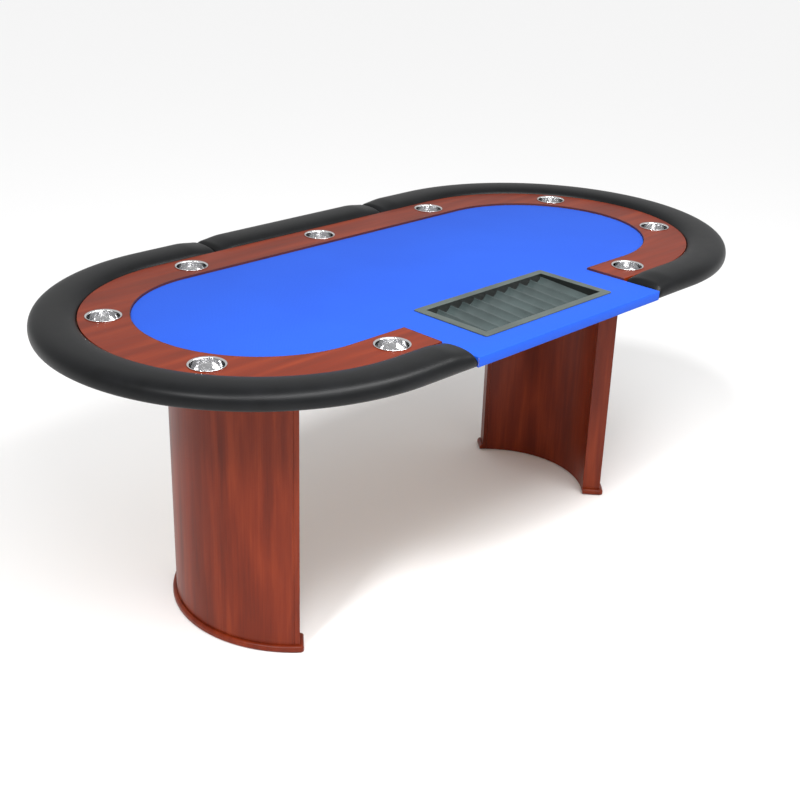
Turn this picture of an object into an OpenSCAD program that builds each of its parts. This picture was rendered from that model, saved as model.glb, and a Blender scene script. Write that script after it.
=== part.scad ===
// Ten-seat poker table: oval padded armrest, wood-look racetrack with drop-in
// cups, felt playing surface, dealer cut-out with a lift-out chip tray, and two
// C-shaped panel legs. Millimetres, floor at z = 0, dealer on the -Y side.

/* [Overall] */
// Length of the top over the armrest
table_l = 2080; // [1900:10:2300]
// Width of the top over the armrest
table_w = 1070; // [1040:5:1120]
// Height of the armrest above the floor
table_h = 810; // [760:5:860]

/* [Top] */
// Width of the padded armrest
rail_w = 110; // [104:1:116]
// Width of the wood-look racetrack
race_w = 119; // [112:1:122]
// Half length of the dealer cut-out
cut_h = 343; // [320:1:360]
// Half distance between the two armrest seams at the back
seam_h = 308; // [280:1:330]
// Radius of the upholstered armrest ends
end_round = 18; // [12:1:20]

/* [Cups] */
// Inner radius of a cup's mouth
cup_r = 37.6; // [34:0.2:38]
// Depth of a cup below the racetrack
cup_d = 44; // [38:1:50]
// Angle of the end cups from the long axis
cup_a = 32; // [28:1:36]
// Distance of the straight-side cups from the middle
cup_x = 440; // [430:1:470]

/* [Chip tray] */
// Half length of the tray's flange
tray_hx = 237.5; // [234:0.5:240]
// Edge of the flange nearest the dealer
tray_y0 = -464; // [-468:1:-462]
// Edge of the flange farthest from the dealer
tray_y1 = -232; // [-234:1:-230]
// Number of chip rows
rows = 10; // [8:1:10]
// Slope of the chip rows down towards the dealer
row_tilt = 3.7; // [2:0.1:4]

/* [Legs] */
// Centre of each leg's arc from the table's middle
leg_x = 400; // [380:5:420]
// Outer radius of a leg
leg_r = 316; // [300:2:324]
// Thickness of a leg panel
leg_t = 52; // [48:1:58]
// Half angle of a leg's arc
leg_a = 50; // [46:1:54]

/* [Hidden] */
$fn = 96;
end_r = table_w / 2;
str_h = table_l / 2 - end_r;
race_top = table_h - 17;
felt_top = race_top - 5.5;
deck_top = race_top - 10;
deck_bot = deck_top - 18;
rail_bot = deck_bot - 1.5;
felt_t = 1.5;
foam_t = 3;
race_in = rail_w + race_w;
gap = 0.3;
deck_off = 14;
core_a = 24;
core_b = 100;
core_t = 12;
bolt_u = 62;
cup_w = 0.8;
hole_r = cup_r + cup_w + 0.6;
cup_u = rail_w + race_w / 2;
tray_cy = (tray_y0 + tray_y1) / 2;
tray_in_x = tray_hx - 22;
tray_in_y = (tray_y1 - tray_y0) / 2 - 21;
tray_wall = 2.5;
tray_top = felt_top + 3;
tray_floor = felt_top - 40;
row_pitch = 2 * tray_in_x / rows;
row_r = 22;
row_chord = row_pitch / 2 - 1;
row_rise = sqrt(row_r * row_r - row_chord * row_chord);
row_mid = tray_top - 14.7;
glide_h = 3;
plate_t = 17;
leg_top = deck_bot - plate_t;
skin_t = 6;
strip_a = 2.5;
mould_w = 10;
mould_h = 15;
beam_s = 40;
beam_y = 160;
leg_in = leg_r - leg_t;
leg_mid = leg_r - leg_t / 2;
plate_in = round(leg_in * cos(leg_a) + 10);
beam_end = leg_x + plate_in - 1;

end_cups = [for (sx = [-1, 1], sy = [-1, 1])
    [sx * (str_h + (end_r - cup_u) * cos(cup_a)), sy * (end_r - cup_u) * sin(cup_a)]];
side_cups = [for (sx = [-1, 1], sy = [-1, 1]) [sx * cup_x, sy * (end_r - cup_u)]];
cups = [end_cups[0], end_cups[1], side_cups[1], [0, end_r - cup_u], side_cups[3],
    end_cups[3], end_cups[2], side_cups[2], side_cups[0]];
arc_bolts = [for (s = [-1, 1], a = [-72, -36, 0, 36, 72])
    [s * (str_h + (end_r - bolt_u) * cos(a)), (end_r - bolt_u) * sin(a)]];
side_bolts = [for (s = [-1, 1], x = [390, 460]) [s * x, -(end_r - bolt_u)]];
back_bolts = [for (x = [-430, -350, -240, 0, 240, 350, 430]) [x, end_r - bolt_u]];
bolts = concat(arc_bolts, side_bolts, back_bolts);

// Oval outline, moved in by off from the table's edge.
module stadium(off) {
    r = end_r - off;
    square([2 * str_h, 2 * r], center = true);
    for (s = [-1, 1]) translate([s * str_h, 0]) circle(r = r);
}

// The playing surface: inside of the racetrack and the dealer's cut-out.
module play_area(clear, front) {
    stadium(race_in + clear);
    translate([-cut_h + clear, -front]) square([2 * (cut_h - clear), front]);
}

module rounded_rect(hx, hy, r) {
    square([2 * hx, 2 * (hy - r)], center = true);
    square([2 * (hx - r), 2 * hy], center = true);
    for (sx = [-1, 1], sy = [-1, 1])
        translate([sx * (hx - r), sy * (hy - r)]) circle(r = r);
}

module tray_hole(extra) {
    translate([0, tray_cy])
        square([2 * (tray_in_x + tray_wall + extra), 2 * (tray_in_y + tray_wall + extra)],
            center = true);
}

// Armrest cross-section: x = 0 is the table's edge, inwards is -x.
module pad_profile() {
    nose = (table_h - rail_bot) / 2;
    difference() {
        union() {
            translate([-nose, rail_bot + nose]) circle(r = nose);
            translate([-rail_w + 12, deck_top]) square([rail_w - 12 - nose, table_h - deck_top]);
            translate([-rail_w + 12, table_h - 12]) circle(r = 12);
            translate([-rail_w, deck_top + gap]) square([30, table_h - 12 - deck_top - gap]);
            translate([-10, rail_bot + 10]) circle(r = 10);
            translate([-nose, rail_bot + 10]) square([nose, nose - 10]);
            translate([-45, rail_bot]) square([35, 10]);
        }
        translate([-rail_w - 10, deck_bot - 0.01])
            square([rail_w + 10 - deck_off + gap, deck_top - deck_bot + 0.01 + gap]);
    }
}

// Cross-section of the plywood core, or of the space for it when clear is more than 0.
module core_profile(clear) {
    translate([-core_b - clear, deck_top - (clear > 0 ? 1 : 0)])
        square([core_b - core_a + 2 * clear, core_t + clear + (clear > 0 ? 1 : 0)]);
}

// Side view of an armrest section: rounded down at x0 and, where both, at x1.
module end_shape(x0, x1, both) {
    z0 = rail_bot - 5;
    r = end_round;
    translate([x0 + r, z0]) square([x1 - x0 - (both ? 2 * r : r), table_h - z0 + 5]);
    translate([x0, z0]) square([x1 - x0, table_h - r - z0]);
    translate([x0 + r, table_h - r]) circle(r = r);
    if (both) translate([x1 - r, table_h - r]) circle(r = r);
}

module along_x(x0, x1) {
    translate([x0, 0, 0]) rotate([90, 0, 90]) linear_extrude(height = x1 - x0) children();
}

// A straight armrest piece on the +Y side, rounded at its ends.
module straight_pad(x0, x1, both) {
    intersection() {
        along_x(x0, x1) translate([end_r, 0]) pad_profile();
        translate([0, end_r + 10, 0]) rotate([90, 0, 0])
            linear_extrude(height = rail_w + 40) end_shape(x0, x1, both);
    }
}

// The right-hand core, which stops 20 mm before each end of its armrest.
module core_run(clear) {
    along_x(seam_h + 20 - clear, str_h) translate([end_r, 0]) core_profile(clear);
    mirror([0, 1, 0]) along_x(cut_h + 20 - clear, str_h)
        translate([end_r, 0]) core_profile(clear);
    translate([str_h, 0, 0]) rotate([0, 0, -90])
        rotate_extrude(angle = 180, $fn = 180) translate([end_r, 0]) core_profile(clear);
}

// The right-hand armrest: back piece, half round end, front piece.
module pad_end() {
    difference() {
        union() {
            straight_pad(seam_h + 0.2, str_h, false);
            mirror([0, 1, 0]) straight_pad(cut_h + 0.5, str_h, false);
            translate([str_h, 0, 0]) rotate([0, 0, -90])
                rotate_extrude(angle = 180, $fn = 180) translate([end_r, 0]) pad_profile();
        }
        core_run(gap);
    }
}

module core_end() {
    difference() {
        core_run(0);
        bolt_holes();
    }
}

module bolt_holes() {
    for (p = bolts) translate([p[0], p[1], deck_bot - 20]) cylinder(r = 3.3, h = 80);
}

module cup_bores() {
    for (p = cups) translate([p[0], p[1], deck_bot - 20]) cylinder(r = hole_r, h = 80);
}

// The board under the top is one fibreboard panel. It is drawn as three nested parts
// that meet face to face: the middle, the ring with the cups' holes and the outer edge.
module panel() {
    translate([0, 0, deck_bot]) linear_extrude(height = deck_top - deck_bot) children();
}

module deck() {
    color("burlywood") panel() difference() {
        union() {
            stadium(race_in);
            translate([-cut_h + 1, -end_r + felt_t])
                square([2 * cut_h - 2, end_r - felt_t]);
        }
        tray_hole(0.8);
    }
}

module deck_ring() {
    color("burlywood") difference() {
        panel() ring(rail_w, race_in, cut_h - 1);
        cup_bores();
    }
}

module deck_edge() {
    color("burlywood") difference() {
        panel() ring(deck_off, rail_w, cut_h - 1);
        bolt_holes();
    }
}

module felt_foam() {
    color("lightyellow") translate([0, 0, deck_top]) linear_extrude(height = foam_t)
        difference() {
            play_area(1.3, end_r - felt_t);
            tray_hole(0.8);
        }
}

module playing_felt() {
    color("royalblue") {
        translate([0, 0, felt_top - felt_t]) linear_extrude(height = felt_t)
            difference() {
                play_area(1.3, end_r);
                tray_hole(0.8);
            }
        along_x(-cut_h + 1.3, cut_h - 1.3)
            translate([-end_r, rail_bot]) square([felt_t, felt_top - rail_bot]);
        along_x(-cut_h + 1.3, cut_h - 1.3)
            translate([-end_r, rail_bot]) square([40, felt_t]);
    }
}

module ring(outer, inner, cut) {
    difference() {
        stadium(outer);
        stadium(inner);
        translate([-cut, -end_r]) square([2 * cut, end_r]);
    }
}

module racetrack() {
    color("sienna") difference() {
        translate([0, 0, deck_top]) linear_extrude(height = race_top - deck_top)
            ring(rail_w + gap, race_in - 1, cut_h + 1);
        cup_bores();
    }
}

module racetrack_edging() {
    color("saddlebrown") translate([0, 0, deck_top]) linear_extrude(height = race_top - deck_top)
        difference() {
            ring(rail_w + gap, race_in, cut_h);
            ring(rail_w - 5, race_in - 1, cut_h + 1);
        }
}

module rail_core_right() { color("tan") core_end(); }
module rail_core_left() { color("tan") mirror([1, 0, 0]) core_end(); }
module rail_core_back() {
    color("tan") difference() {
        along_x(-seam_h + 20, seam_h - 20) translate([end_r, 0]) core_profile(0);
        bolt_holes();
    }
}
module rail_pad_right() { color("dimgray") pad_end(); }
module rail_pad_left() { color("dimgray") mirror([1, 0, 0]) pad_end(); }
module rail_pad_back() {
    color("dimgray") difference() {
        straight_pad(-seam_h + 0.2, seam_h - 0.2, true);
        along_x(-seam_h + 20 - gap, seam_h - 20 + gap) translate([end_r, 0]) core_profile(gap);
    }
}

module rail_bolts() {
    color("silver") for (p = bolts) translate([p[0], p[1], deck_bot - 4]) {
        cylinder(r = 6, h = 4);
        cylinder(r = 3, h = 32);
    }
}

module chip_tray() {
    hx = tray_in_x + tray_wall;
    hy = tray_in_y + tray_wall;
    color("darkslategray") translate([0, tray_cy, 0]) difference() {
        union() {
            translate([0, 0, felt_top]) linear_extrude(height = 3)
                rounded_rect(tray_hx, (tray_y1 - tray_y0) / 2, 7);
            translate([-hx, -hy, tray_floor - tray_wall])
                cube([2 * hx, 2 * hy, felt_top + 1 - tray_floor + tray_wall]);
        }
        translate([-tray_in_x, -tray_in_y, tray_floor])
            cube([2 * tray_in_x, 2 * tray_in_y, 60]);
    }
}

// Scalloped insert that the chips stand in, sloping down to the dealer.
module chip_rows() {
    hx = tray_in_x - 0.4;
    hy = tray_in_y - 0.4;
    color("slategray") translate([0, tray_cy, row_mid]) intersection() {
        union() {
            rotate([row_tilt, 0, 0]) difference() {
                translate([-hx, -150, -17.5]) cube([2 * hx, 300, 17.5]);
                for (i = [0 : rows - 1])
                    translate([(i - (rows - 1) / 2) * row_pitch, -160, row_rise])
                        rotate([-90, 0, 0]) cylinder(r = row_r, h = 320);
            }
            for (y = [-hy, hy - 12])
                translate([-hx, y, tray_floor - row_mid])
                    cube([2 * hx, 12, row_mid - tray_floor - 15 + y / hy * 4]);
        }
        translate([-hx, -hy, tray_floor - row_mid]) cube([2 * hx, 2 * hy, 60]);
    }
}

// One spun cup with a rolled rim and a rounded foot.
module cup(i) {
    ro = cup_r + cup_w;
    zb = race_top - cup_d;
    p = cups[i - 1];
    color("lightgray") translate([p[0], p[1], 0]) rotate_extrude() {
        difference() {
            union() {
                translate([0, zb + 7]) square([ro, cup_d - 7 + 1]);
                translate([0, zb]) square([ro - 7, cup_d]);
                translate([ro - 7, zb + 7]) circle(r = 7);
            }
            translate([0, zb + 7]) square([cup_r, cup_d]);
            translate([0, zb + cup_w]) square([cup_r - 6.2, cup_d]);
            translate([cup_r - 6.2, zb + 7]) circle(r = 6.2);
        }
        translate([cup_r, race_top]) square([3.8, 1]);
        translate([cup_r + 3.8, race_top + 1.15]) circle(r = 1.15);
    }
}
module cup_1() { cup(1); }
module cup_2() { cup(2); }
module cup_3() { cup(3); }
module cup_4() { cup(4); }
module cup_5() { cup(5); }
module cup_6() { cup(6); }
module cup_7() { cup(7); }
module cup_8() { cup(8); }
module cup_9() { cup(9); }

module beam(y) {
    difference() {
        translate([-beam_end, y - beam_s / 2, deck_bot - beam_s])
            cube([2 * beam_end, beam_s, beam_s]);
        pilot_holes();
    }
}
module beam_front() { color("peru") beam(-beam_y); }
module beam_back() { color("peru") beam(beam_y); }
module cross_beams() {
    color("peru") for (x = [-300, 0, 300])
        translate([x - beam_s / 2, -beam_y + beam_s / 2, deck_bot - beam_s])
            cube([beam_s, 2 * beam_y - beam_s, beam_s]);
}

// Angle bracket on a beam's inner face, screwed up into the leg plate.
module at_brackets() {
    for (sx = [-1, 1], sy = [-1, 1])
        mirror([sx < 0 ? 1 : 0, 0, 0]) mirror([0, sy > 0 ? 0 : 1, 0])
            translate([beam_end + 1, beam_y - beam_s / 2, leg_top]) children();
}
module bracket_hole_axes() {
    translate([26, -13, 0]) children();
    translate([-18, 0, -10]) rotate([-90, 0, 0]) children();
}
module corner_brackets() {
    color("silver") at_brackets() difference() {
        union() {
            translate([0, -26, -3]) cube([40, 26, 3]);
            translate([-40, -3, -20]) cube([43, 3, 20]);
        }
        bracket_hole_axes() translate([0, 0, -10]) cylinder(r = 2.6, h = 20);
    }
}
module bracket_screws() {
    color("gray") at_brackets() {
        translate([26, -13, -5.5]) cylinder(r = 4.5, h = 2.5);
        translate([26, -13, -5.5]) cylinder(r = 2, h = 16);
        translate([-18, -5.5, -10]) rotate([-90, 0, 0]) cylinder(r = 4.5, h = 2.5);
        translate([-18, -5.5, -10]) rotate([-90, 0, 0]) cylinder(r = 2, h = 20);
    }
}
module pilot_holes() { at_brackets() bracket_hole_axes() translate([0, 0, -1]) cylinder(r = 2.2, h = 20); }

// Arc-shaped outline of a leg between two radii, up to half angle a.
module sector(r0, r1, a) {
    big = 2 * r1;
    intersection() {
        difference() {
            circle(r = r1, $fn = 180);
            circle(r = r0, $fn = 180);
        }
        polygon([[0, 0], [big * cos(a), -big * sin(a)], [big, -big * sin(a)],
            [big, big * sin(a)], [big * cos(a), big * sin(a)]]);
    }
}

module side(s) { mirror([s < 0 ? 1 : 0, 0, 0]) translate([leg_x, 0, 0]) children(); }

module leg_plate(s) {
    difference() {
        side(s) translate([plate_in, -265, leg_top]) cube([leg_r + 20 - plate_in, 530, plate_t]);
        leg_bolt_holes();
        pilot_holes();
    }
}
module leg_bolt_at(s) {
    side(s) for (a = [-30, -10, 10, 30])
        rotate([0, 0, a]) translate([leg_mid, 0, leg_top - 18]) children();
}
module leg_bolt_holes() {
    for (s = [-1, 1]) leg_bolt_at(s) cylinder(r = 4.2, h = 60);
}
module leg_bolts() {
    color("silver") for (s = [-1, 1]) leg_bolt_at(s) {
        cylinder(r = 8, h = 6);
        cylinder(r = 4, h = 34);
    }
}
module outer_skin(s) {
    side(s) translate([0, 0, glide_h]) linear_extrude(height = leg_top - glide_h)
        sector(leg_r - skin_t, leg_r, leg_a - strip_a);
}
module inner_skin(s) {
    side(s) translate([0, 0, glide_h]) linear_extrude(height = leg_top - glide_h)
        sector(leg_in, leg_in + skin_t, leg_a - strip_a);
}
module end_strips(s) {
    side(s) translate([0, 0, glide_h]) linear_extrude(height = leg_top - glide_h)
        difference() {
            sector(leg_in, leg_r, leg_a);
            sector(leg_in - 1, leg_r + 1, leg_a - strip_a);
        }
}
module leg_ribs(s) {
    side(s) for (a = [-40, -20, 0, 20, 40])
        rotate([0, 0, a]) translate([leg_in + skin_t + 1, -9, glide_h + 12])
            cube([leg_t - 2 * skin_t - 2, 18, leg_top - glide_h - 24]);
}
module leg_caps(s) {
    difference() {
        side(s) translate([0, 0, leg_top - 12]) linear_extrude(height = 12)
            sector(leg_in + skin_t, leg_r - skin_t, leg_a - strip_a);
        leg_bolt_holes();
    }
}
module leg_soles(s) {
    side(s) translate([0, 0, glide_h]) linear_extrude(height = 12)
        sector(leg_in + skin_t, leg_r - skin_t, leg_a - strip_a);
}

// Quarter-round section of the base moulding, x = 0 on the panel.
module mould_profile() {
    square([mould_w, mould_h - mould_w + 2]);
    square([2, mould_h]);
    intersection() {
        translate([2, mould_h - mould_w + 2]) circle(r = mould_w - 2);
        square([mould_w, mould_h]);
    }
}
module base_moulding(s) {
    side(s) translate([0, 0, glide_h]) {
        rotate([0, 0, -leg_a]) rotate_extrude(angle = 2 * leg_a, $fn = 180)
            translate([leg_r, 0]) mould_profile();
        for (m = [0, 1]) mirror([0, m, 0]) rotate([0, 0, leg_a]) {
            translate([leg_r, 0, 0]) rotate_extrude(angle = 90) mould_profile();
            translate([leg_in, 0, 0]) rotate([90, 0, 90])
                linear_extrude(height = leg_t) mould_profile();
        }
    }
}
module leg_glides() {
    color("black") for (s = [-1, 1]) side(s) for (a = [-42, -14, 14, 42])
        rotate([0, 0, a]) translate([leg_mid, 0, 0]) cylinder(r = 14, h = glide_h);
}

module leg_plate_left() { color("tan") leg_plate(-1); }
module leg_plate_right() { color("tan") leg_plate(1); }
module outer_skin_left() { color("brown") outer_skin(-1); }
module outer_skin_right() { color("brown") outer_skin(1); }
module inner_skin_left() { color("maroon") inner_skin(-1); }
module inner_skin_right() { color("maroon") inner_skin(1); }
module end_strips_left() { color("firebrick") end_strips(-1); }
module end_strips_right() { color("firebrick") end_strips(1); }
module leg_ribs_left() { color("wheat") leg_ribs(-1); }
module leg_ribs_right() { color("wheat") leg_ribs(1); }
module leg_caps_left() { color("tan") leg_caps(-1); }
module leg_caps_right() { color("tan") leg_caps(1); }
module leg_soles_left() { color("tan") leg_soles(-1); }
module leg_soles_right() { color("tan") leg_soles(1); }
module base_moulding_left() { color("brown") base_moulding(-1); }
module base_moulding_right() { color("brown") base_moulding(1); }

deck();
deck_ring();
deck_edge();
felt_foam();
playing_felt();
racetrack();
racetrack_edging();
rail_core_left();
rail_core_back();
rail_core_right();
rail_pad_left();
rail_pad_back();
rail_pad_right();
rail_bolts();
chip_tray();
chip_rows();
cup_1();
cup_2();
cup_3();
cup_4();
cup_5();
cup_6();
cup_7();
cup_8();
cup_9();
beam_front();
beam_back();
cross_beams();
corner_brackets();
bracket_screws();
leg_plate_left();
leg_plate_right();
leg_bolts();
outer_skin_left();
outer_skin_right();
inner_skin_left();
inner_skin_right();
end_strips_left();
end_strips_right();
leg_ribs_left();
leg_ribs_right();
leg_caps_left();
leg_caps_right();
leg_soles_left();
leg_soles_right();
base_moulding_left();
base_moulding_right();
leg_glides();
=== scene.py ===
import math

import bmesh
import bpy
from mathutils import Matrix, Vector


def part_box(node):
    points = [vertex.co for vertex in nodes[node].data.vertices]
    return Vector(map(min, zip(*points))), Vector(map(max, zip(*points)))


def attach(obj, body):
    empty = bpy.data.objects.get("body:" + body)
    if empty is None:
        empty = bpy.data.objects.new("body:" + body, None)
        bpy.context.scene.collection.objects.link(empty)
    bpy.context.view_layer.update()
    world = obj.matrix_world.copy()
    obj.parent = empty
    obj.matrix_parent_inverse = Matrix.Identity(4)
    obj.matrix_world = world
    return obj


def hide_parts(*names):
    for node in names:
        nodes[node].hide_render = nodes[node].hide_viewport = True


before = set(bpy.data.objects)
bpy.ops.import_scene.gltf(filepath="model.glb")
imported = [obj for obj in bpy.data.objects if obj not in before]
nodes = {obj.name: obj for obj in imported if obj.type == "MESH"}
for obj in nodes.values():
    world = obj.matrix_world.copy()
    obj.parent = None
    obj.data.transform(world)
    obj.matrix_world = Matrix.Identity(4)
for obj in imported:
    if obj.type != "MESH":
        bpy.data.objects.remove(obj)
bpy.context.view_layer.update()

scene = bpy.context.scene
MM = 0.001


# ---- Camera, floor and studio light -------------------------------------------------
# A view over the left front corner, a pale seamless floor, a broad key light from the
# left, softboxes in front and above, and an even pale room. The one above draws the
# soft shine along the shoulder of the near armrest.
def clear_selection():
    if bpy.context.object and bpy.context.object.mode != "OBJECT":
        bpy.ops.object.mode_set(mode="OBJECT")
    bpy.ops.object.select_all(action="DESELECT")


clear_selection()
bpy.ops.object.camera_add(
    location=(-2.2823, -2.1804, 1.7987),
    rotation=[math.radians(a) for a in (66.229, -1.693, -45.144)],
)
camera = bpy.context.object
camera.data.sensor_width = 36
camera.data.lens = 56.8
camera.data.clip_end = 60
scene.camera = camera
scene.view_settings.view_transform = "Standard"


def srgb(code, alpha=1.0):
    """An sRGB hex colour as the linear numbers that shaders take."""
    parts = [int(code[i : i + 2], 16) / 255 for i in (1, 3, 5)]
    return (*[c / 12.92 if c <= 0.04045 else ((c + 0.055) / 1.055) ** 2.4 for c in parts], alpha)


def add(tree, kind, feeds=None, stops=None, **settings):
    """Adds one shader node. feeds gives its inputs, as numbers or as sockets to link."""
    made = tree.nodes.new("ShaderNode" + kind)
    for name, value in settings.items():
        setattr(made, name, value)
    for name, value in (feeds or {}).items():
        if isinstance(value, bpy.types.NodeSocket):
            tree.links.new(value, made.inputs[name])
        else:
            made.inputs[name].default_value = value
    if stops:
        for i, (place, colour) in enumerate(stops):
            while len(made.color_ramp.elements) <= i:
                made.color_ramp.elements.new(place)
            made.color_ramp.elements[i].position = place
            made.color_ramp.elements[i].color = colour
    return made


def material(name, **surface):
    """A new material with one Principled surface, and its node tree."""
    mat = bpy.data.materials.new(name)
    mat.use_nodes = True
    tree = mat.node_tree
    shader = tree.nodes["Principled BSDF"]
    for key, value in surface.items():
        shader.inputs[key.replace("_", " ").capitalize()].default_value = value
    return mat, tree, shader


backdrop, tree, shader = material("seamless_paper_matt", Roughness=0.95)
shader.inputs["Base Color"].default_value = srgb("#FAFAFA")
clear_selection()
bpy.ops.mesh.primitive_plane_add(size=40, location=(0, 0, 0))
floor = bpy.context.object
floor.name = "studio_floor"
floor.data.materials.append(backdrop)

world = bpy.data.worlds.new("pale_room")
world.use_nodes = True
world.node_tree.nodes["Background"].inputs["Color"].default_value = (1.0, 1.0, 1.0, 1.0)
world.node_tree.nodes["Background"].inputs["Strength"].default_value = 0.62
scene.world = world


def softbox(name, place, aim, size, watts):
    clear_selection()
    bpy.ops.object.light_add(type="AREA", location=place)
    lamp = bpy.context.object
    lamp.name = name
    lamp.data.shape = "RECTANGLE"
    lamp.data.size, lamp.data.size_y = size
    lamp.data.energy = watts
    lamp.rotation_euler = (Vector(aim) - Vector(place)).to_track_quat("-Z", "Y").to_euler()


softbox("softbox_front", (-0.4, -3.3, 2.8), (-0.2, -0.3, 0.7), (3.2, 1.8), 24)
softbox("softbox_high", (-0.5, -1.25, 2.3), (-0.6, -0.45, 0.8), (3.0, 0.65), 72)
clear_selection()
bpy.ops.object.light_add(type="SUN", rotation=(math.radians(12), math.radians(-46), 0))
key = bpy.context.object
key.name = "key_left"
key.data.energy = 1.6
key.data.angle = math.radians(11)


# ---- Board and underlay --------------------------------------------------------------
# One fibreboard panel carries the whole top. It is sawn to the oval, drilled for the
# cups and cut out for the tray, and its three nodes are nested parts of that one panel.
# A thin foam sheet is glued over it under the cloth.
def paint(mat, *names):
    """Gives CAD nodes or new pieces one material."""
    for name in names:
        target = nodes[name] if isinstance(name, str) else name
        target.data.materials.clear()
        target.data.materials.append(mat)


def fibre_panel(name, light, dark, chip_mm, rough):
    """Pressed or laminated board: speckled, matt, with a faint sawn roughness."""
    mat, tree, shader = material(name, Roughness=rough)
    where = add(tree, "TexCoord").outputs["Object"]
    chips = add(tree, "TexVoronoi", {"Vector": where, "Scale": 1 / (chip_mm * MM)})
    haze = add(tree, "TexNoise", {"Vector": where, "Scale": 6.0, "Detail": 4.0})
    blend = add(tree, "Math", {0: chips.outputs["Distance"], 1: haze.outputs["Fac"]}, operation="MULTIPLY")
    tone = add(tree, "ValToRGB", {"Fac": blend.outputs[0]}, [(0.05, srgb(dark)), (0.5, srgb(light))])
    tree.links.new(tone.outputs["Color"], shader.inputs["Base Color"])
    grit = add(tree, "Bump", {"Height": chips.outputs["Distance"], "Strength": 0.25, "Distance": 0.0004})
    tree.links.new(grit.outputs["Normal"], shader.inputs["Normal"])
    return mat


# Raw medium-density fibreboard: dull tan with fine darker fibres, no gloss.
paint(fibre_panel("raw_fibreboard_sawn", "#B08D63", "#8A6A46", 3.0, 0.85), "deck", "deck_ring", "deck_edge")
# Open-cell underlay: pale, soft and quite without gloss.
paint(fibre_panel("foam_underlay_sliced", "#E6E2CF", "#CFC9B2", 2.0, 0.95), "felt_foam")


# ---- Playing cloth ---------------------------------------------------------------------
# Bright blue polyester speed cloth, stretched dry over the foam, turned over the dealer's
# edge with a soft radius and stapled underneath. It stops just inside the racetrack.
END_R, HALF_STR = 535 * MM, 505 * MM
top_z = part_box("playing_felt")[1].z
CLOTH_T = 1.5 * MM
# The cloth stops 1.3 mm short of the racetrack, whose inner edge is 229 mm from the table's edge.
PLAY_R = END_R - 230.3 * MM
# Half length of the dealer's edge, alone and with the skirts over the board's cut ends.
FRONT_X, SKIRT_X = 341.7 * MM, 342.8 * MM
# Where the top turns down at the dealer's edge, and how far back the skirts run.
FRONT_Y, SIDE_Y = -533 * MM, -430 * MM
# Half length, front and back of the hole for the tray.
TRAY_CUT = (218.8 * MM, -446.3 * MM, -249.7 * MM)
# How far below the top the skirts' upper and lower edges are.
SKIRT_DROPS = (-1.2 * MM, -23.5 * MM)


def cloth_outline():
    """The cloth's edge from the dealer's right corner round both ends to the left one."""
    drop = -PLAY_R
    points = [(FRONT_X, FRONT_Y), (FRONT_X, SIDE_Y), (FRONT_X, drop)]
    steps = 64
    for sign in (1, -1):
        for i in range(steps + 1):
            a = math.radians(-90 + 180 * i / steps)
            if sign < 0:
                a = math.pi + a
            points.append((sign * HALF_STR + PLAY_R * math.cos(a), PLAY_R * math.sin(a)))
    points += [(-FRONT_X, drop), (-FRONT_X, SIDE_Y), (-FRONT_X, FRONT_Y)]
    return points


cloth_mesh = bmesh.new()
rim = [cloth_mesh.verts.new((x, y, top_z)) for x, y in cloth_outline()]
edge_ring = [cloth_mesh.edges.new((rim[i], rim[(i + 1) % len(rim)])) for i in range(len(rim))]
cx, y0, y1 = TRAY_CUT
hole = [cloth_mesh.verts.new((x, y, top_z)) for x, y in ((-cx, y0), (cx, y0), (cx, y1), (-cx, y1))]
hole_ring = [cloth_mesh.edges.new((hole[i], hole[(i + 1) % 4])) for i in range(4)]
bmesh.ops.triangle_fill(cloth_mesh, edges=edge_ring + hole_ring, use_beauty=True)
# The turn over the dealer's edge, as y and height above the top, in metres.
turn = [(-0.5339, -0.00025), (-0.5346, -0.0008), (-0.535, -0.0018), (-0.535, -0.0222),
        (-0.5346, -0.0233), (-0.5338, -0.0239), (-0.5326, -0.024), (-0.4958, -0.024)]
left, right = rim[-1], rim[0]
for y, dz in turn:
    low_left = cloth_mesh.verts.new((-FRONT_X, y, top_z + dz))
    low_right = cloth_mesh.verts.new((FRONT_X, y, top_z + dz))
    cloth_mesh.faces.new((left, right, low_right, low_left))
    left, right = low_left, low_right
for front, back, out in ((rim[0], rim[1], 1), (rim[-1], rim[-2], -1)):
    for dz in SKIRT_DROPS:
        next_front = cloth_mesh.verts.new((out * SKIRT_X, front.co.y, top_z + dz))
        next_back = cloth_mesh.verts.new((out * SKIRT_X, back.co.y, top_z + dz))
        cloth_mesh.faces.new((front, back, next_back, next_front))
        front, back = next_front, next_back
bmesh.ops.recalc_face_normals(cloth_mesh, faces=cloth_mesh.faces)
top_face = max(cloth_mesh.faces, key=lambda f: f.calc_area())
if top_face.normal.z < 0:
    bmesh.ops.reverse_faces(cloth_mesh, faces=cloth_mesh.faces)


def new_piece(name, source):
    """Turns a bmesh into an object in the scene."""
    data = bpy.data.meshes.new(name)
    source.to_mesh(data)
    source.free()
    piece = bpy.data.objects.new(name, data)
    scene.collection.objects.link(piece)
    return piece


def pick(piece):
    """Makes one object the only selected and active one."""
    clear_selection()
    piece.select_set(True)
    bpy.context.view_layer.objects.active = piece


def finish_with(piece, kind, **settings):
    """Adds one modifier with its settings and applies it."""
    pick(piece)
    mod = piece.modifiers.new(kind.lower(), kind)
    for name, value in settings.items():
        setattr(mod, name, value)
    bpy.ops.object.modifier_apply(modifier=mod.name)


cloth = new_piece("playing_cloth", cloth_mesh)
finish_with(cloth, "SOLIDIFY", thickness=CLOTH_T, offset=-1)
pick(cloth)
bpy.ops.object.shade_smooth_by_angle(angle=math.radians(40))

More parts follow.
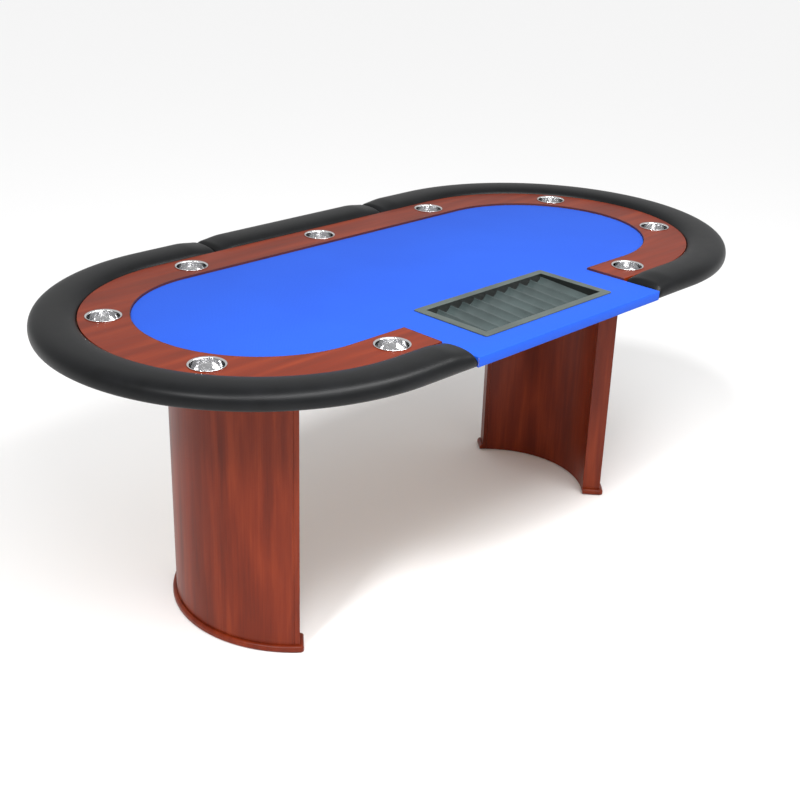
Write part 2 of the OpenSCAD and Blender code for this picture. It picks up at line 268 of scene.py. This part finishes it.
# Woven polyester speed cloth: even saturated blue, a fine diagonal twill that only
# shows as a soft grain, and a faint nap sheen at low angles.
speed_cloth, tree, shader = material("polyester_speed_cloth_woven", Roughness=0.82)
where = add(tree, "TexCoord").outputs["Object"]
nap = add(tree, "TexNoise", {"Vector": where, "Scale": 420.0, "Detail": 3.0, "Roughness": 0.6})
cloud = add(tree, "TexNoise", {"Vector": where, "Scale": 3.2, "Detail": 2.0})
mixed = add(tree, "Math", {0: nap.outputs["Fac"], 1: 0.55}, operation="MULTIPLY")
mixed = add(tree, "Math", {0: cloud.outputs["Fac"], 1: 0.45, 2: mixed.outputs[0]}, operation="MULTIPLY_ADD")
tone = add(tree, "ValToRGB", {"Fac": mixed.outputs[0]},
           [(0.3, srgb("#0C44B0")), (0.52, srgb("#0F49B7")), (0.75, srgb("#134EBE"))])
tree.links.new(tone.outputs["Color"], shader.inputs["Base Color"])
# The real ribs are about 0.3 mm wide; drawn 1.6 mm wide so that they can be seen at all.
twill_turn = add(tree, "Mapping", {"Vector": where, "Rotation": (0, 0, math.radians(38))})
twill = add(tree, "TexWave", {"Vector": twill_turn.outputs["Vector"], "Scale": 100.0, "Distortion": 0.6},
            bands_direction="X")
relief = add(tree, "Math", {0: twill.outputs["Fac"], 1: nap.outputs["Fac"]}, operation="ADD")
weave = add(tree, "Bump", {"Height": relief.outputs[0], "Strength": 0.18, "Distance": 0.0003})
tree.links.new(weave.outputs["Normal"], shader.inputs["Normal"])
shader.inputs["Sheen Weight"].default_value = 0.05
shader.inputs["Sheen Roughness"].default_value = 0.5
shader.inputs["Specular IOR Level"].default_value = 0.2
paint(speed_cloth, cloth)
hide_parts("playing_felt")
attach(cloth, "table")


# ---- Racetrack -------------------------------------------------------------------------
# A raised panel between the armrest and the cloth, faced with reddish cherry-look foil
# and cut in one piece with its grain along the table. Its arrises are eased and its
# inner edge carries a dark edge band.
def eased_copy(node, body, ease_mm, name=None, steps=2, smooth=35, even=True):
    """A copy of a CAD node with its doubles merged and its sharp edges eased."""
    piece = bpy.data.objects.new(name or node + "_finished", nodes[node].data.copy())
    scene.collection.objects.link(piece)
    pick(piece)
    bpy.ops.object.mode_set(mode="EDIT")
    bpy.ops.mesh.select_all(action="SELECT")
    bpy.ops.mesh.remove_doubles(threshold=0.00001)
    bpy.ops.mesh.dissolve_limited(angle_limit=math.radians(0.4))
    bpy.ops.object.mode_set(mode="OBJECT")
    finish_with(piece, "BEVEL", width=ease_mm * MM, segments=steps, limit_method="ANGLE",
                angle_limit=math.radians(40))
    bpy.ops.object.shade_smooth_by_angle(angle=math.radians(smooth))
    if even:
        finish_with(piece, "WEIGHTED_NORMAL", keep_sharp=True, weight=100)
    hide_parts(node)
    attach(piece, body)
    return piece


def wood_foil(name, grain, dark, mid, light, figure=7.0, rough=0.36):
    """Printed wood-grain foil under a satin lacquer; grain is the axis it runs along."""
    mat, tree, shader = material(name)
    where = add(tree, "TexCoord").outputs["Object"]
    stretch, thin = {"X": ((0.09, 1, 1), (0.02, 1, 1)), "Z": ((1, 1, 0.09), (1, 1, 0.02))}[grain]
    flow = add(tree, "Mapping", {"Vector": where, "Scale": stretch})
    plank = add(tree, "TexNoise", {"Vector": flow.outputs["Vector"], "Scale": figure, "Detail": 2.0,
                                   "Roughness": 0.5, "Distortion": 0.4})
    folds = add(tree, "Math", {0: plank.outputs["Fac"], 1: 9.0}, operation="MULTIPLY")
    folds = add(tree, "Math", {0: folds.outputs[0], 1: 1.0}, operation="PINGPONG")
    streak = add(tree, "TexNoise", {"Vector": flow.outputs["Vector"], "Scale": figure * 5, "Detail": 3.0,
                                    "Roughness": 0.55})
    thread = add(tree, "Mapping", {"Vector": where, "Scale": thin})
    fibre = add(tree, "TexNoise", {"Vector": thread.outputs["Vector"], "Scale": 260.0, "Detail": 3.0,
                                   "Roughness": 0.6})
    mixed = add(tree, "Math", {0: folds.outputs[0], 1: 0.14}, operation="MULTIPLY")
    for layer, share in ((streak, 0.55), (fibre, 0.25)):
        mixed = add(tree, "Math", {0: layer.outputs["Fac"], 1: share, 2: mixed.outputs[0]},
                    operation="MULTIPLY_ADD")
    tone = add(tree, "ValToRGB", {"Fac": mixed.outputs[0]},
               [(0.3, srgb(dark)), (0.47, srgb(mid)), (0.64, srgb(light))])
    tree.links.new(tone.outputs["Color"], shader.inputs["Base Color"])
    dull = add(tree, "MapRange", {"Value": fibre.outputs["Fac"], "To Min": rough - 0.05,
                                  "To Max": rough + 0.1})
    tree.links.new(dull.outputs["Result"], shader.inputs["Roughness"])
    pores = add(tree, "Bump", {"Height": fibre.outputs["Fac"], "Strength": 0.1, "Distance": 0.0003})
    tree.links.new(pores.outputs["Normal"], shader.inputs["Normal"])
    shader.inputs["Specular IOR Level"].default_value = 0.2
    return mat


# Cherry-look foil, lacquered: warm red-brown bands with fine straight fibres.
cherry = wood_foil("cherry_foil_lacquered", "X", "#5A1B04", "#681F05", "#782A0A")
racetrack = eased_copy("racetrack", "table", 0.8, "racetrack_panel")
paint(cherry, racetrack)


def moulded_plastic(name, colour, speck_mm, rough, relief=0.12):
    """Injection-moulded or extruded plastic with a fine spark-eroded texture."""
    mat, tree, shader = material(name)
    where = add(tree, "TexCoord").outputs["Object"]
    grain = add(tree, "TexNoise", {"Vector": where, "Scale": 1 / (speck_mm * MM), "Detail": 3.0})
    wear = add(tree, "TexNoise", {"Vector": where, "Scale": 14.0, "Detail": 4.0})
    base = srgb(colour)[:3]
    worn = tuple(c * 0.86 for c in base) + (1,)
    fresh = tuple(min(1, c * 1.14) for c in base) + (1,)
    tone = add(tree, "ValToRGB", {"Fac": wear.outputs["Fac"]}, [(0.35, worn), (0.65, fresh)])
    tree.links.new(tone.outputs["Color"], shader.inputs["Base Color"])
    dull = add(tree, "MapRange", {"Value": wear.outputs["Fac"], "To Min": rough - 0.06,
                                  "To Max": rough + 0.06})
    tree.links.new(dull.outputs["Result"], shader.inputs["Roughness"])
    skin = add(tree, "Bump", {"Height": grain.outputs["Fac"], "Strength": relief, "Distance": 0.0003})
    tree.links.new(skin.outputs["Normal"], shader.inputs["Normal"])
    return mat


# Extruded PVC edge band: dark brown, a little glossier than the foil beside it.
paint(moulded_plastic("pvc_edge_band_extruded", "#4A2114", 1.2, 0.38), "racetrack_edging")


# ---- Armrest ---------------------------------------------------------------------------
# Three upholstered sections: a plywood core, a thick crowned foam pad, and black smooth
# leatherette pulled over it, tucked under the board and stapled. Each end is turned down
# round its core, so two sections meet in a shallow V.
# The swollen skin stays below this height.
SWELL_TOP = 812 * MM
# Distance from the table's edge and height of the skin, in millimetres, from the hem
# round the outside and over the crown to the inner lip.
SKIN = [(13.7, 765.0), (9.5, 763.6), (5.6, 764.6), (2.9, 767.2), (1.3, 771.0), (0.6, 775.6), (0.5, 780.6),
        (1.1, 785.4), (2.4, 790.0), (4.6, 794.4), (7.8, 798.3), (12.0, 801.6), (17.2, 804.2),
        (23.2, 806.2), (30.0, 807.6), (37.6, 808.5), (45.6, 809.0), (53.8, 809.2), (62.0, 809.1),
        (70.0, 808.6), (77.6, 807.8), (84.6, 806.5), (91.0, 804.8), (96.6, 802.5), (101.4, 799.6),
        (105.2, 796.2), (107.8, 792.4), (109.2, 788.4), (109.6, 784.2)]
# The underside, from the inner lip over the core and out to the hem.
HIDDEN = [(101.0, 783.4), (100.4, 795.4), (23.6, 795.4), (23.6, 783.4), (13.8, 783.4)]
# Each end turns down over TURNED, and its crown sags by SAG millimetres over SAG_RUN.
TURNED = 14 * MM
SAG, SAG_RUN = 8.0, 75 * MM
# At an end the section keeps this share of its height, and this share of its width.
END_HEIGHT, END_WIDTH = 0.64, 0.97
# Height of the section, height of its hem and middle of its width, in millimetres.
RAIL_H, HEM_Z, RAIL_MID = 46, 764.0, 55
# The hem stays outside the board's edge, which it covers, in millimetres.
HEM = 14.0
# Within CORE_SHORT of an end there is no core, and the underside comes down to BOARD_Z.
CORE_SHORT, BOARD_Z = 20.5 * MM, 783.6
GRID = 7 * MM


def rail_path(x_start, x_end, start_side, end_side):
    """Points along the table's edge with their inward direction, from one end to the other.

    A side of 1 is the back and -1 is the dealer's side; the path goes round the right end
    when the sides differ."""
    path = []
    if start_side == end_side:
        length = x_end - x_start
        count = max(2, round(length / GRID))
        for i in range(count + 1):
            path.append((x_start + length * i / count, END_R * start_side, 0.0, -start_side))
        return path
    for i in range(round((HALF_STR - x_start) / GRID) + 1):
        step = (HALF_STR - x_start) / round((HALF_STR - x_start) / GRID)
        path.append((x_start + step * i, END_R, 0.0, -1.0))
    turns = round(math.pi * END_R / GRID)
    for i in range(1, turns):
        a = math.pi / 2 - math.pi * i / turns
        path.append((HALF_STR + END_R * math.cos(a), END_R * math.sin(a), -math.cos(a), -math.sin(a)))
    count = round((HALF_STR - x_end) / GRID)
    for i in range(count + 1):
        path.append((HALF_STR - (HALF_STR - x_end) * i / count, -END_R, 0.0, 1.0))
    return path


def upholstered_rail(name, path, mirrored=False):
    """Sweeps the padded section along its path, with both ends turned down and closed."""
    shell = bmesh.new()
    rings, reach = [], [0.0]
    for a, b in zip(path, path[1:]):
        reach.append(reach[-1] + math.hypot(b[0] - a[0], b[1] - a[1]))
    for s, (x, y, nx, ny) in zip(reach, path):
        nearest = min(s, reach[-1] - s)
        turn = 1.0 if nearest >= TURNED else math.sqrt(max(0.0, 1 - (1 - nearest / TURNED) ** 2))
        run = min(1.0, nearest / SAG_RUN)
        sag = SAG * (1 - run * run * (3 - 2 * run))
        lift = (END_HEIGHT + (1 - END_HEIGHT) * turn) * (1 - sag / RAIL_H)
        tuck = END_WIDTH + (1 - END_WIDTH) * turn
        ring = []
        for u, z in SKIN:
            zz = HEM_Z + (z - HEM_Z) * lift
            uu = RAIL_MID + (u - RAIL_MID) * tuck
            if u < HEM:
                uu = min(uu, HEM - 0.3)
            ring.append(shell.verts.new((x + nx * uu * MM, y + ny * uu * MM, zz * MM)))
        for u, z in HIDDEN:
            zz = min(z, BOARD_Z) if nearest < CORE_SHORT else z
            zz = min(zz, HEM_Z + 20.0 * lift + 60 * turn)
            ring.append(shell.verts.new((x + nx * u * MM, y + ny * u * MM, zz * MM)))
        rings.append(ring)
    count = len(rings[0])
    for a, b in zip(rings, rings[1:]):
        for i in range(count):
            j = (i + 1) % count
            shell.faces.new((a[i], a[j], b[j], b[i]))
    shell.faces.new(rings[0])
    shell.faces.new(list(reversed(rings[-1])))
    # The end rings keep their edge, so that two sections stay face to face at the seam.
    firm = shell.edges.layers.float.new("crease_edge")
    for ring in (rings[0], rings[-1]):
        for v, w in zip(ring, ring[1:] + ring[:1]):
            shell.edges.get((v, w))[firm] = 1.0
    if mirrored:
        for v in shell.verts:
            v.co.x = -v.co.x
    bmesh.ops.recalc_face_normals(shell, faces=shell.faces)
    piece = new_piece(name, shell)
    return piece, count


def stuff(piece, ring_size, cap=3.0 * MM):
    """Lets the skin swell over its foam: pressure cloth, with hem and core faces held."""
    held = piece.vertex_groups.new(name="held")
    skin = len(SKIN)
    start = [v.co.copy() for v in piece.data.vertices]
    last = len(start) // ring_size - 1
    for v in piece.data.vertices:
        ring, spot = divmod(v.index, ring_size)
        if spot < 3 or spot > skin - 3:
            held.add([v.index], 1.0, "REPLACE")
        elif ring in (0, last):
            held.add([v.index], 0.9, "REPLACE")
    pick(piece)
    mod = piece.modifiers.new("cloth", "CLOTH")
    cloth_set = mod.settings
    cloth_set.quality = 6
    cloth_set.mass = 0.3
    cloth_set.tension_stiffness = cloth_set.compression_stiffness = 18
    cloth_set.shear_stiffness = 8
    cloth_set.bending_stiffness = 1.2
    cloth_set.use_pressure = True
    cloth_set.uniform_pressure_force = 4.0
    cloth_set.effector_weights.gravity = 0.0
    cloth_set.vertex_group_mass = "held"
    mod.collision_settings.use_collision = False
    mod.point_cache.frame_start, mod.point_cache.frame_end = 1, 20
    for step in range(1, 21):
        scene.frame_set(step)
    shaped = piece.evaluated_get(bpy.context.evaluated_depsgraph_get())
    moved = [v.co.copy() for v in shaped.data.vertices]
    piece.modifiers.remove(mod)
    scene.frame_set(1)
    for v, a, b in zip(piece.data.vertices, start, moved):
        shift = b - a
        if shift.length > cap:
            shift *= cap / shift.length
        v.co = a + shift
        v.co.z = min(v.co.z, SWELL_TOP)
    finish_with(piece, "SUBSURF", levels=1, render_levels=1)
    bpy.ops.object.shade_smooth()
    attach(piece, "table")


# Smooth black leatherette, embossed PVC on knitted backing: near black, satin, with a
# fine pebble grain and a soft sheen where it turns to the light.
leatherette, tree, shader = material("black_leatherette_embossed")
where = add(tree, "TexCoord").outputs["Object"]
# The pebble is about 0.6 mm; drawn at 1.3 mm so that it breaks up the highlight.
pebble = add(tree, "TexVoronoi", {"Vector": where, "Scale": 1 / (1.3 * MM)}, feature="SMOOTH_F1")
hide_wave = add(tree, "TexNoise", {"Vector": where, "Scale": 22.0, "Detail": 3.0})
tone = add(tree, "ValToRGB", {"Fac": hide_wave.outputs["Fac"]},
           [(0.35, srgb("#08090A")), (0.7, srgb("#0D0E10"))])
tree.links.new(tone.outputs["Color"], shader.inputs["Base Color"])
dull = add(tree, "MapRange", {"Value": hide_wave.outputs["Fac"], "To Min": 0.36, "To Max": 0.43})
tree.links.new(dull.outputs["Result"], shader.inputs["Roughness"])
shader.inputs["Specular IOR Level"].default_value = 0.2
relief = add(tree, "Math", {0: hide_wave.outputs["Fac"], 1: 0.6, 2: pebble.outputs["Distance"]},
             operation="MULTIPLY_ADD")
grain = add(tree, "Bump", {"Height": relief.outputs[0], "Strength": 0.2, "Distance": 0.0005})
tree.links.new(grain.outputs["Normal"], shader.inputs["Normal"])

SEAM_X, CUT_X = 308.2 * MM, 343.5 * MM
for side, flip in (("right", False), ("left", True)):
    rail, ring_size = upholstered_rail(f"armrest_{side}", rail_path(SEAM_X, CUT_X, 1, -1), flip)
    paint(leatherette, rail)
    stuff(rail, ring_size)
    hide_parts(f"rail_pad_{side}")
rail, ring_size = upholstered_rail("armrest_back", rail_path(-SEAM_X, SEAM_X, 1, 1))
paint(leatherette, rail)
stuff(rail, ring_size)
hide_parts("rail_pad_back")

# Birch plywood, sanded: pale and faintly speckled; it shows only underneath.
plywood = fibre_panel("birch_plywood_sanded", "#C9A877", "#A98752", 6.0, 0.7)
paint(plywood, "rail_core_left", "rail_core_back", "rail_core_right", "leg_plate_left", "leg_plate_right",
      "leg_caps_left", "leg_caps_right", "leg_soles_left", "leg_soles_right")


# ---- Chip tray ---------------------------------------------------------------------------
# A dark grey moulded ABS tray that drops into the cut-out on its flange. Its scalloped
# insert has ten rows that slope down to the dealer.
# ABS, injection-moulded: dark grey-green, satin, with a fine eroded texture.
abs_flange = moulded_plastic("grey_abs_moulded", "#434B48", 0.8, 0.46)
abs_rows = moulded_plastic("grey_abs_moulded_rows", "#3A4444", 0.8, 0.24, relief=0.06)
# The walls of the well: the same grey plastic, a little glossier, with painted shade that makes them nearly
# black.
well_walls_painted_shade = moulded_plastic("grey_abs_well_painted_shade", "#161918", 0.8, 0.4)
# The well is below this height, and its faces get the painted shade; the flange is above it.
WELL_TOP = 0.7872
tray = eased_copy("chip_tray", "chip_tray", 0.7, "chip_tray_shell")
rows = eased_copy("chip_rows", "chip_tray", 0.4, "chip_tray_rows", smooth=30, even=False)
paint(abs_flange, tray)
tray.data.materials.append(well_walls_painted_shade)
# Faces below the flange take the copy with painted shade.
for face in tray.data.polygons:
    if face.center.z < WELL_TOP:
        face.material_index = 1
paint(abs_rows, rows)


# ---- Cups -------------------------------------------------------------------------------
# Nine drop-in cups, spun from thin stainless sheet: a rolled rim that lies on the
# racetrack, a straight wall, a rounded foot and a stepped base, polished all over.
# Radius and height of the inside, in millimetres, from the rim's underside to the base.
CUP_FORM = [(41.3, 793.25), (42.0, 793.45), (42.45, 794.0), (42.5, 794.6), (42.1, 795.05), (41.4, 795.3),
            (40.6, 795.1), (40.0, 794.65), (39.3, 794.2), (38.6, 793.9), (38.0, 793.4), (37.65, 792.6),
            (37.6, 791.0), (37.6, 780.0), (37.6, 768.0), (37.6, 757.5), (37.2, 755.0), (36.0, 752.6),
            (34.2, 750.9), (32.0, 750.1), (29.6, 749.9), (28.6, 750.0), (27.8, 750.6), (26.6, 751.0),
            (14.0, 751.0), (2.0, 751.0)]
# Faces below this height belong to the cup's base.
CUP_BASE_TOP = 0.752


def spun_cup(name):
    """Draws one cup down from a ring at its rim, a step at a time, about the origin."""
    clear_selection()
    bpy.ops.mesh.primitive_circle_add(vertices=72, radius=CUP_FORM[0][0] * MM, fill_type="NOTHING",
                                      location=(0, 0, CUP_FORM[0][1] * MM))
    cup = bpy.context.object
    cup.name = cup.data.name = name
    bpy.ops.object.transform_apply(location=True, rotation=True, scale=True)
    bpy.ops.object.mode_set(mode="EDIT")
    bpy.ops.mesh.select_all(action="SELECT")
    for (r0, z0), (r1, z1) in zip(CUP_FORM, CUP_FORM[1:]):
        bpy.ops.mesh.extrude_region_move(TRANSFORM_OT_translate={"value": (0, 0, (z1 - z0) * MM)})
        bpy.ops.transform.resize(value=(r1 / r0, r1 / r0, 1), center_override=(0, 0, z1 * MM))
    bpy.ops.mesh.merge(type="CENTER")
    bpy.ops.mesh.select_all(action="SELECT")
    bpy.ops.mesh.normals_make_consistent(inside=False)
    bpy.ops.object.mode_set(mode="OBJECT")
    turned = bmesh.new()
    turned.from_mesh(cup.data)
    if sum(f.normal.z for f in turned.faces if f.calc_center_median().z < CUP_BASE_TOP) < 0:
        bmesh.ops.reverse_faces(turned, faces=turned.faces)
    marks = turned.loops.layers.uv.new("turning")
    for face in turned.faces:
        for loop in face.loops:
            x, y, z = loop.vert.co
            loop[marks].uv = (math.atan2(y, x) / (2 * math.pi), math.hypot(x, y) - z)
    turned.to_mesh(cup.data)
    turned.free()
    finish_with(cup, "SOLIDIFY", thickness=0.7 * MM, offset=-1)
    bpy.ops.object.shade_smooth_by_angle(angle=math.radians(50))
    return cup


# Stainless steel, spun and polished: bright mirror with faint turning rings.
steel, tree, shader = material("stainless_spun_polished", Metallic=1.0)
around = add(tree, "UVMap", uv_map="turning").outputs["UV"]
squeeze = add(tree, "Mapping", {"Vector": around, "Scale": (2.0, 1400.0, 1.0)})
rings = add(tree, "TexNoise", {"Vector": squeeze.outputs["Vector"], "Scale": 1.0, "Detail": 2.0})
tone = add(tree, "ValToRGB", {"Fac": rings.outputs["Fac"]}, [(0.3, srgb("#E0E0E2")), (0.7, srgb("#F0F0F0"))])
tree.links.new(tone.outputs["Color"], shader.inputs["Base Color"])
dull = add(tree, "MapRange", {"Value": rings.outputs["Fac"], "To Min": 0.07, "To Max": 0.15})
tree.links.new(dull.outputs["Result"], shader.inputs["Roughness"])
turned_marks = add(tree, "Bump", {"Height": rings.outputs["Fac"], "Strength": 0.08, "Distance": 0.0002})
tree.links.new(turned_marks.outputs["Normal"], shader.inputs["Normal"])

first_cup = spun_cup("cup_pattern")
paint(steel, first_cup)
for number in range(1, 10):
    low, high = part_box(f"cup_{number}")
    centre = (low + high) / 2
    cup = bpy.data.objects.new(f"cup_{number}_steel", first_cup.data.copy())
    scene.collection.objects.link(cup)
    for v in cup.data.vertices:
        v.co.x += centre.x
        v.co.y += centre.y
    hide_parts(f"cup_{number}")
    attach(cup, f"cup_{number}")
bpy.data.objects.remove(first_cup)


# ---- Legs -------------------------------------------------------------------------------
# Two hollow C-shaped panels of bent board, faced with dark mahogany-look foil with its
# grain upright. Flat strips close their ends, and a quarter-round base moulding runs
# round the outside. Ribs, caps and sole boards are inside.
# Mahogany-look foil, lacquered: dark red-brown, straight upright grain, satin.
mahogany = wood_foil("mahogany_foil_lacquered", "Z", "#571A08", "#69220B", "#7C2E12", figure=8.0, rough=0.33)
for side in ("left", "right"):
    paint(mahogany, f"outer_skin_{side}", f"inner_skin_{side}")
    strips = eased_copy(f"end_strips_{side}", "table", 1.2, f"leg_end_strips_{side}")
    foot = eased_copy(f"base_moulding_{side}", "table", 0.8, f"leg_foot_{side}", smooth=30)
    paint(mahogany, strips, foot)

# Planed pine: pale yellow with straight grain; it shows only underneath.
pine = wood_foil("pine_planed", "X", "#A97B45", "#C69A60", "#DDB77F", figure=14.0, rough=0.6)
paint(pine, "beam_front", "beam_back", "cross_beams", "leg_ribs_left", "leg_ribs_right")
# Rubber glides: black, dull and slightly dusty.
paint(moulded_plastic("rubber_glide_moulded", "#1A1A1A", 1.0, 0.7), "leg_glides")


# ---- Bolts, brackets and screws -----------------------------------------------------------
# Zinc-plated steel: pressed angle brackets with their screws, and the bolts that hold the
# armrest and the legs. Bolts and screws are plain round-headed rods.
# Zinc plate: cool grey with a faint cloudy bloom.
zinc, tree, shader = material("zinc_plated_steel", Metallic=1.0)
where = add(tree, "TexCoord").outputs["Object"]
bloom = add(tree, "TexNoise", {"Vector": where, "Scale": 180.0, "Detail": 3.0})
tone = add(tree, "ValToRGB", {"Fac": bloom.outputs["Fac"]}, [(0.3, srgb("#8F9296")), (0.7, srgb("#B4B7BA"))])
tree.links.new(tone.outputs["Color"], shader.inputs["Base Color"])
dull = add(tree, "MapRange", {"Value": bloom.outputs["Fac"], "To Min": 0.3, "To Max": 0.48})
tree.links.new(dull.outputs["Result"], shader.inputs["Roughness"])
paint(zinc, "rail_bolts", "leg_bolts", "bracket_screws", "corner_brackets")

clear_selection()
